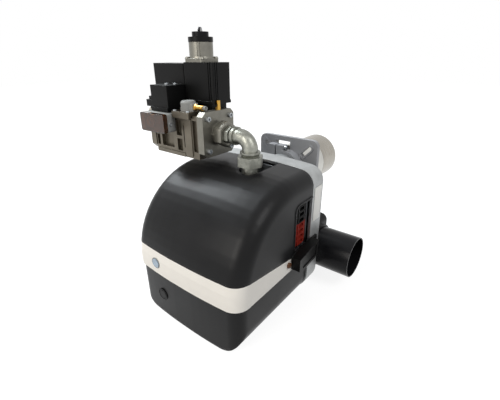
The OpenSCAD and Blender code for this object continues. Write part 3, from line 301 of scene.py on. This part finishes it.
# Makers of the finishes, called once each: the real material, and what it gives the eye
FINISHES = {
    # Satin ABS of the hood: nearly black, with one broad soft streak of light over the arch
    "satin black ABS": lambda c: moulded_plastic(
        "satin black ABS", c.hood, 0.34, edge=8 * MM),
    # Enamelled aluminium band: warm white and even, the brightest stripe of the burner
    "warm white film": lambda c: painted_metal("warm white film", c.band, 0.42),
    # Die-cast aluminium under silver paint: pale, cloudy and dull
    "silver die-cast": lambda c: cast_metal("silver die-cast", c.housing, 0.42, 0.75),
    # Raw die-cast aluminium of the gas valve: warm grey that darkens in its pockets; the grey is
    # painted darker and browner than the bare casting, a painted dark reflection
    "raw die-cast": lambda c: cast_metal("raw die-cast", c.valve, 0.36, 0.85, 1.0 * MM),
    # Lighter copy of the valve's casting for the outlet flange and the tower: painted light where
    # the window light reaches them
    "die-cast painted lighter": lambda c: cast_metal(
        "die-cast painted lighter", srgb("#7c7a72"), 0.38, 0.85, 1.0 * MM),
    # Galvanised malleable iron: lumpy grey with patches of zinc that catch the light
    "galvanised iron": lambda c: galvanised_iron("galvanised iron", c.fittings),
    # Iron casting under mid-grey paint: smooth, with dull highlights on its ribs
    "grey painted iron": lambda c: painted_metal("grey painted iron", c.flange, 0.45, 0.2),
    # Tube steel turned on a lathe: fine rings round the Y axis and a yellowish shine
    "turned tube steel": lambda c: turned_metal(
        "turned tube steel", c.tube, 0.26, (0.02, 1.0, 0.02)),
    # Turned aluminium collar: whiter and duller than the tube it holds
    "turned collar": lambda c: turned_metal(
        "turned collar", c.collar, 0.42, (0.02, 1.0, 0.02)),
    # Zinc-plated sheet and screws: cool bright grey with small sharp highlights
    "zinc-plated steel": lambda c: turned_metal(
        "zinc-plated steel", srgb("#a9adb0"), 0.36, (1.0, 1.0, 1.0), 6 * MM),
    # Ground steel shafts: the sharpest reflection, drawn out along the ground lines
    "ground steel": lambda c: turned_metal(
        "ground steel", srgb("#b4b8bb"), 0.25, (0.05, 1.0, 0.05)),
    # Turned brass nipples: small warm yellow sparks against the grey casting
    "brass": lambda c: turned_metal("brass", srgb("#c9a04c"), 0.24, (1.0, 1.0, 0.1)),
    # Glass-filled nylon of the electrical boxes: deep black with thin bright edges
    "matt black plastic": lambda c: moulded_plastic("matt black plastic", c.electrics, 0.36),
    # Extruded PVC pipe: smooth wet-looking black that shows the bright room as a streak
    "gloss black PVC": lambda c: moulded_plastic(
        "gloss black PVC", srgb("#141416"), 0.22, 3 * MM, 0.02 * MM),
    # Grey ABS of small switches and caps: plain mid grey without a streak
    "grey plastic": lambda c: moulded_plastic("grey plastic", srgb("#8d8e8c"), 0.5),
    # Nylon of the socket's coded half: deep brick red inside the dark cut-out
    "red-brown plastic": lambda c: moulded_plastic("red-brown plastic", c.plug, 0.42),
    # Brown nylon screw head: a warm dark dot at the band's end
    "brown plastic": lambda c: moulded_plastic("brown plastic", srgb("#6b4a36"), 0.4),
    # Smoky clear polycarbonate: brown glassy block with the switch dimly seen inside
    "smoky polycarbonate": lambda c: smoky_cover("smoky polycarbonate", srgb("#7d5638")),
    # Clear polycarbonate of the reset button: pale blue glint in the white band
    "clear pale plastic": lambda c: translucent_button("clear pale plastic", c.button),
    # Alumina insulators: clean warm white rods in the steel tube
    "alumina ceramic": lambda c: glazed_ceramic("alumina ceramic", srgb("#ece8de")),
    # Pressed fibre gasket: a pale flecked line behind the flange
    "pressed fibre": lambda c: pressed_fibre("pressed fibre", srgb("#d2cbb8")),
    # Motor enamel: dark slate grey with a slight orange peel
    "dark motor paint": lambda c: painted_metal("dark motor paint", srgb("#2c2e30"), 0.5),
    # Printed aluminium plate, left bare: flat pale grey, lighter than the casting round it
    "pale plate": lambda c: painted_metal("pale plate", srgb("#eeede8"), 0.4),
}


def finish(name):
    """The finish with that name, made on its first use."""
    found = bpy.data.materials.get(name)
    return found or FINISHES[name](bpy.context.scene.burner_colours)


def dress(finish_name, *nodes):
    """Gives CAD nodes a finish in all their material slots."""
    for name in nodes:
        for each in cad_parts[name].material_slots:
            each.material = finish(finish_name)


def clear_selection():
    """Deselects everything, so that an operator acts on the new piece alone."""
    for each in bpy.context.selected_objects:
        each.select_set(False)


def settle(piece, finish_name, body):
    """Puts a new piece's place into its mesh, gives it a finish and lets it ride on a body."""
    clear_selection()
    piece.select_set(True)
    bpy.context.view_layer.objects.active = piece
    bpy.ops.object.transform_apply(location=True, rotation=True, scale=True)
    piece.data.materials.clear()
    piece.data.materials.append(finish(finish_name))
    bpy.ops.object.shade_smooth_by_angle(angle=SMOOTH_ANGLE)
    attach(piece, body)


def soften(piece, width, segments=2):
    """Rounds a piece's edges with a bevel that is applied."""
    bevel = piece.modifiers.new("rounded edges", "BEVEL")
    bevel.width = width
    bevel.segments = segments
    bevel.limit_method = "ANGLE"
    bpy.context.view_layer.objects.active = piece
    bpy.ops.object.modifier_apply(modifier=bevel.name)


def press_face(piece, direction, margin, depth):
    """Insets the faces that look along a direction and moves their middle in by the depth."""
    bpy.context.view_layer.objects.active = piece
    for face in piece.data.polygons:
        face.select = face.normal.dot(direction) > 0.99
    bpy.ops.object.mode_set(mode="EDIT")
    bpy.ops.mesh.select_mode(type="FACE")
    bpy.ops.mesh.inset(thickness=margin)
    bpy.ops.mesh.extrude_region_move(TRANSFORM_OT_translate={"value": direction * -depth})
    bpy.ops.object.mode_set(mode="OBJECT")


def turned_boss(name, start, end, radius, sides=48):
    """Cap or hexagon between two points, with rounded edges and a dished outer end."""
    clear_selection()
    axis = (end - start).normalized()
    turn = axis.to_track_quat("Z", "Y").to_euler()
    bpy.ops.mesh.primitive_cylinder_add(
        vertices=sides, radius=radius, depth=(end - start).length,
        location=(start + end) / 2, rotation=turn)
    cap = bpy.context.object
    cap.name = name
    bpy.ops.object.transform_apply(location=True, rotation=True, scale=True)
    press_face(cap, axis, radius * 0.3, radius * 0.12)
    soften(cap, radius * 0.1)
    return cap


def thin_plate(name, low, high, edge):
    """Thin plate between two corners, with a stamped frame inside its edge and soft corners."""
    clear_selection()
    bpy.ops.mesh.primitive_cube_add(size=1.0, location=(low + high) / 2)
    plate = bpy.context.object
    plate.name = name
    plate.scale = high - low
    bpy.ops.object.transform_apply(location=True, rotation=True, scale=True)
    press_face(plate, Vector((1, 0, 0)), 1.4 * MM, edge * 0.5)
    soften(plate, edge)
    return plate


class BurnerColours(bpy.types.PropertyGroup):
    """Colours of the burner's main finishes."""

    hood: bpy.props.FloatVectorProperty(
        name="Hood", description="Black ABS of the hood", subtype="COLOR", size=4,
        default=srgb("#181819"))
    band: bpy.props.FloatVectorProperty(
        name="Band", description="Warm white band", subtype="COLOR", size=4,
        default=srgb("#eeeae3"))
    housing: bpy.props.FloatVectorProperty(
        name="Housing", description="Silver die-cast housing", subtype="COLOR", size=4,
        default=srgb("#a4a6a6"))
    # Painted dark reflection: darker and browner than the bare die-cast
    valve: bpy.props.FloatVectorProperty(
        name="Valve", description="Raw die-cast valve", subtype="COLOR", size=4,
        default=srgb("#6a6459"))
    fittings: bpy.props.FloatVectorProperty(
        name="Fittings", description="Galvanised fittings", subtype="COLOR", size=4,
        default=srgb("#8d8e86"))
    flange: bpy.props.FloatVectorProperty(
        name="Flange", description="Painted boiler flange", subtype="COLOR", size=4,
        default=srgb("#8e8f92"))
    tube: bpy.props.FloatVectorProperty(
        name="Tube", description="Brushed blast tube", subtype="COLOR", size=4,
        default=srgb("#a09b92"))
    collar: bpy.props.FloatVectorProperty(
        name="Collar", description="Turned collar", subtype="COLOR", size=4,
        default=srgb("#c4c3be"))
    electrics: bpy.props.FloatVectorProperty(
        name="Electrics", description="Black electrical housings", subtype="COLOR", size=4,
        default=srgb("#0d0d0d"))
    plug: bpy.props.FloatVectorProperty(
        name="Plug", description="Red-brown socket half", subtype="COLOR", size=4,
        default=srgb("#8a2a20"))
    button: bpy.props.FloatVectorProperty(
        name="Button", description="Reset button", subtype="COLOR", size=4,
        default=srgb("#a9c0d6"))


class BurnerSizes(bpy.types.PropertyGroup):
    """Sizes of the added pieces and of the view."""

    plate_thickness: bpy.props.FloatProperty(
        name="Plate", description="Thickness of the data plates", subtype="DISTANCE",
        default=0.7 * MM)
    focal_length: bpy.props.FloatProperty(
        name="Lens", description="Focal length on a 36 mm wide sensor", default=23.35)


class BURNER_OT_hood(bpy.types.Operator):
    """Finishes of the hood, its band, button, plug and screw"""

    bl_idname = "burner.hood"
    bl_label = "Hood"

    def execute(self, context):
        dress("satin black ABS", "hood_shell")
        dress("warm white film", "hood_band")
        dress("matt black plastic", "hood_plug")
        dress("brown plastic", "hood_screw")
        dress("grey plastic", "reset_bezel")
        dress("clear pale plastic", "reset_button")
        return {"FINISHED"}


class BURNER_OT_housing(bpy.types.Operator):
    """Finishes of the cast housing, the mounting plate and the side bracket"""

    bl_idname = "burner.housing"
    bl_label = "Housing"

    def execute(self, context):
        dress("silver die-cast", "housing_pan", "fan_cover")
        dress("zinc-plated steel", "mounting_plate", "plate_screws")
        dress("matt black plastic", "side_bracket")
        return {"FINISHED"}


class BURNER_OT_fan_and_motor(bpy.types.Operator):
    """Finishes of the motor and the fan"""

    bl_idname = "burner.fan_and_motor"
    bl_label = "Fan and motor"

    def execute(self, context):
        dress("dark motor paint", "motor_body", "motor_end_bell")
        dress("ground steel", "motor_bearings", "motor_shaft")
        dress("zinc-plated steel", "fan_wheel")
        return {"FINISHED"}


class BURNER_OT_electrics(bpy.types.Operator):
    """Finishes of control box, sockets, transformer and air switch"""

    bl_idname = "burner.electrics"
    bl_label = "Electrics"

    def execute(self, context):
        dress("matt black plastic", "control_box", "socket_black", "ignition_transformer")
        dress("red-brown plastic", "socket_brown")
        dress("grey plastic", "air_switch")
        return {"FINISHED"}


class BURNER_OT_air_intake(bpy.types.Operator):
    """Finishes of the air box, its pipe and the damper"""

    bl_idname = "burner.air_intake"
    bl_label = "Air intake"

    def execute(self, context):
        dress("matt black plastic", "air_box", "air_knob")
        dress("gloss black PVC", "intake_pipe")
        dress("zinc-plated steel", "damper_flap")
        dress("ground steel", "damper_shaft")
        return {"FINISHED"}


class BURNER_OT_blast_tube(bpy.types.Operator):
    """Finishes of the flange, the blast tube and what it holds"""

    bl_idname = "burner.blast_tube"
    bl_label = "Blast tube"

    def execute(self, context):
        dress("grey painted iron", "flange_plate", "clamp_block")
        dress("zinc-plated steel", "clamp_screw", "gas_pipe")
        dress("pressed fibre", "flange_gasket")
        dress("turned collar", "tube_collar")
        dress("turned tube steel", "blast_tube", "diffuser_disc")
        dress("ground steel", "gas_head")
        dress("alumina ceramic", "ignition_electrodes", "flame_electrode")
        return {"FINISHED"}


class BURNER_OT_gas_line(bpy.types.Operator):
    """Finishes of the union, elbow and nipple"""

    bl_idname = "burner.gas_line"
    bl_label = "Gas line"

    def execute(self, context):
        dress("galvanised iron", "union_lower", "union_nut", "elbow", "hex_nipple")
        return {"FINISHED"}


class BURNER_OT_gas_valve(bpy.types.Operator):
    """Finishes of the gas valve, its switch and its tower"""

    bl_idname = "burner.gas_valve"
    bl_label = "Gas valve"

    def execute(self, context):
        dress("raw die-cast", "valve_body", "inlet_flange", "governor_flange")
        # The outlet flange and the tower get the casting painted lighter: painted light
        dress("die-cast painted lighter", "outlet_flange", "tower_body")
        dress("zinc-plated steel", "flange_screws", "box_screws")
        dress("ground steel", "valve_plunger_1", "valve_plunger_2")
        dress("brass", "test_nipples")
        dress("grey plastic", "governor_cap", "gas_switch_body")
        dress("smoky polycarbonate", "gas_switch_cover")
        dress("warm white film", "gas_switch_dial")
        dress("matt black plastic", "coil_housing", "connection_box", "cable_gland",
              "tower_ring")
        dress("gloss black PVC", "tower_cap")
        return {"FINISHED"}


class BURNER_OT_data_plates(bpy.types.Operator):
    """Bare data plate on the housing's side"""

    bl_idname = "burner.data_plates"
    bl_label = "Data plates"

    def execute(self, context):
        thick = context.scene.burner_sizes.plate_thickness / MM
        low = bench(HOUSING_SIDE, 223, 160)
        high = bench(HOUSING_SIDE + thick, 249, 228)
        plate = thin_plate("rating_plate", low, high, 0.3 * MM)
        settle(plate, "pale plate", "burner")
        return {"FINISHED"}


class BURNER_OT_small_caps(bpy.types.Operator):
    """Dust cap on the governor's nipple, cover screw and the hexagon on the outlet flange"""

    bl_idname = "burner.small_caps"
    bl_label = "Caps and hexagon"

    def execute(self, context):
        cap = turned_boss("nipple_cap", bench(-47, 127, 363), bench(-40, 127, 363), 3.6 * MM)
        settle(cap, "grey plastic", "burner")
        screw = turned_boss(
            "cover_screw", bench(-106.5, 101, 333), bench(-104, 101, 333), 3 * MM)
        settle(screw, "zinc-plated steel", "burner")
        # The hexagon gets the casting painted lighter too: painted light
        hexagon = turned_boss(
            "outlet_hexagon", bench(-30, 152, 318), bench(-14, 152, 318), 23.5 * MM, 6)
        settle(hexagon, "die-cast painted lighter", "burner")
        return {"FINISHED"}


def area_lamp(name, place, size, power, colour):
    """Soft square lamp that faces the burner."""
    lamp = bpy.data.lights.new(name, "AREA")
    lamp.shape = "SQUARE"
    lamp.size = size
    lamp.energy = power
    lamp.color = colour
    holder = bpy.data.objects.new(name, lamp)
    holder.location = place
    ahead = bench(*LAMP_TARGET) - place
    holder.rotation_euler = ahead.to_track_quat("-Z", "Y").to_euler()
    bpy.context.scene.collection.objects.link(holder)


def photo_camera(focal_length):
    """Camera that sees the burner as the photograph does."""
    camera = bpy.data.cameras.new("photo view")
    camera.sensor_width = SENSOR_WIDTH
    camera.lens = focal_length
    holder = bpy.data.objects.new("photo view", camera)
    ahead = Vector(CAMERA_AHEAD).normalized()
    roll = math.radians(CAMERA_ROLL)
    level = ahead.cross(Vector((0, 0, 1))).normalized()
    upright = level.cross(ahead).normalized()
    right = level * math.cos(roll) + upright * math.sin(roll)
    up = upright * math.cos(roll) - level * math.sin(roll)
    turn = Matrix((right, up, -ahead)).transposed().to_4x4()
    holder.matrix_world = Matrix.Translation(bench(*CAMERA_PLACE)) @ turn
    bpy.context.scene.collection.objects.link(holder)
    return holder


def backdrop_rays(tree):
    """One for camera, glossy and transmission rays, which all see the white backdrop."""
    ray = add(tree, "ShaderNodeLightPath")
    shine = add(tree, "ShaderNodeMath", {"operation": "MAXIMUM"}, {
        0: ray.outputs["Is Camera Ray"], 1: ray.outputs["Is Glossy Ray"]}).outputs["Value"]
    return add(tree, "ShaderNodeMath", {"operation": "MAXIMUM"}, {
        0: shine, 1: ray.outputs["Is Transmission Ray"]}).outputs["Value"]


def floor_material():
    """Matt white floor that keeps the burner's shadow and shows white to the camera; its glow is
    weaker near the burner, a painted shade round it.
    """
    material, tree, place, output = new_material("white studio floor")
    cloud = add(tree, "ShaderNodeTexNoise", None, {
        "Vector": place, "Scale": 1 / (400 * MM), "Detail": 2.0,
        "Roughness": 0.5}).outputs["Fac"]
    matt = add(tree, "ShaderNodeBsdfDiffuse", None, {
        "Color": blend(add(tree, "ShaderNodeValToRGB", None, {"Fac": cloud}),
                       srgb("#858585"), srgb("#888888"), 0.3, 0.7)}).outputs["BSDF"]
    away = add(tree, "ShaderNodeVectorMath", {"operation": "LENGTH"}, {
        0: place}).outputs["Value"]
    # Painted shade: the glow is weaker within 0.8 m of the floor's middle, near the burner, and
    # full from 2.6 m out
    fill = add(tree, "ShaderNodeMapRange", None, {
        "Value": away, "From Min": 0.8, "From Max": 2.6,
        "To Min": 0.86, "To Max": 0.97}).outputs["Result"]
    seen = backdrop_rays(tree)
    lift = add(tree, "ShaderNodeEmission", None, {
        "Color": (1.0, 1.0, 1.0, 1.0),
        "Strength": add(tree, "ShaderNodeMath", {"operation": "MULTIPLY"}, {
            0: seen, 1: fill}).outputs["Value"]}).outputs["Emission"]
    both = add(tree, "ShaderNodeAddShader", None, {0: matt, 1: lift}).outputs["Shader"]
    tree.links.new(both, output.inputs["Surface"])
    return material


def studio_world(strength):
    """White world to the camera and in reflections, and an even soft light on the burner."""
    world = bpy.data.worlds.new("studio")
    world.use_nodes = True
    tree = world.node_tree
    tree.nodes.clear()
    seen = backdrop_rays(tree)
    glow = add(tree, "ShaderNodeBackground", None, {
        "Color": (1.0, 1.0, 1.0, 1.0),
        "Strength": add(tree, "ShaderNodeMapRange", None, {
            "Value": seen, "From Min": 0.0, "From Max": 1.0,
            "To Min": strength, "To Max": 1.0}).outputs["Result"]}).outputs["Background"]
    output = add(tree, "ShaderNodeOutputWorld")
    tree.links.new(glow, output.inputs["Surface"])
    return world


class BURNER_OT_stage(bpy.types.Operator):
    """Floor, lamps, world and the camera at the photograph's angle"""

    bl_idname = "burner.stage"
    bl_label = "Stage"

    def execute(self, context):
        scene = context.scene
        clear_selection()
        bpy.ops.mesh.primitive_plane_add(size=FLOOR_SIZE, location=bench(0, 0, -FLOOR_GAP))
        floor = context.object
        floor.name = "studio_floor"
        floor.data.materials.append(floor_material())

        for name, place, size, power, colour in LAMPS:
            area_lamp(name, bench(*place), size, power, colour)
        scene.world = studio_world(WORLD_STRENGTH)
        scene.view_settings.view_transform = "Standard"
        scene.camera = photo_camera(scene.burner_sizes.focal_length)
        return {"FINISHED"}


OPERATORS = (
    BURNER_OT_hood, BURNER_OT_housing, BURNER_OT_fan_and_motor, BURNER_OT_electrics,
    BURNER_OT_air_intake, BURNER_OT_blast_tube, BURNER_OT_gas_line, BURNER_OT_gas_valve,
    BURNER_OT_data_plates, BURNER_OT_small_caps, BURNER_OT_stage,
)


class BURNER_PT_sidebar(bpy.types.Panel):
    """Lists the burner's operators, colours and sizes"""

    bl_label = "Gas burner"
    bl_idname = "BURNER_PT_sidebar"
    bl_space_type = "VIEW_3D"
    bl_region_type = "UI"
    bl_category = "Burner"

    def draw(self, context):
        for each in OPERATORS:
            self.layout.operator(each.bl_idname)
        for group in (context.scene.burner_colours, context.scene.burner_sizes):
            for name in group.__annotations__:
                self.layout.prop(group, name)


CLASSES = (BurnerColours, BurnerSizes, *OPERATORS, BURNER_PT_sidebar)


def register():
    """Registers the classes and hangs the two property groups on the scene."""
    for each in CLASSES:
        bpy.utils.register_class(each)
    bpy.types.Scene.burner_colours = bpy.props.PointerProperty(type=BurnerColours)
    bpy.types.Scene.burner_sizes = bpy.props.PointerProperty(type=BurnerSizes)


def unregister():
    """Takes back what register() added."""
    del bpy.types.Scene.burner_sizes
    del bpy.types.Scene.burner_colours
    for each in reversed(CLASSES):
        bpy.utils.unregister_class(each)


def main():
    """Runs every operator in order."""
    register()
    clear_selection()
    for each in OPERATORS:
        group, name = each.bl_idname.split(".")
        getattr(getattr(bpy.ops, group), name)()


if __name__ == "__main__":
    main()
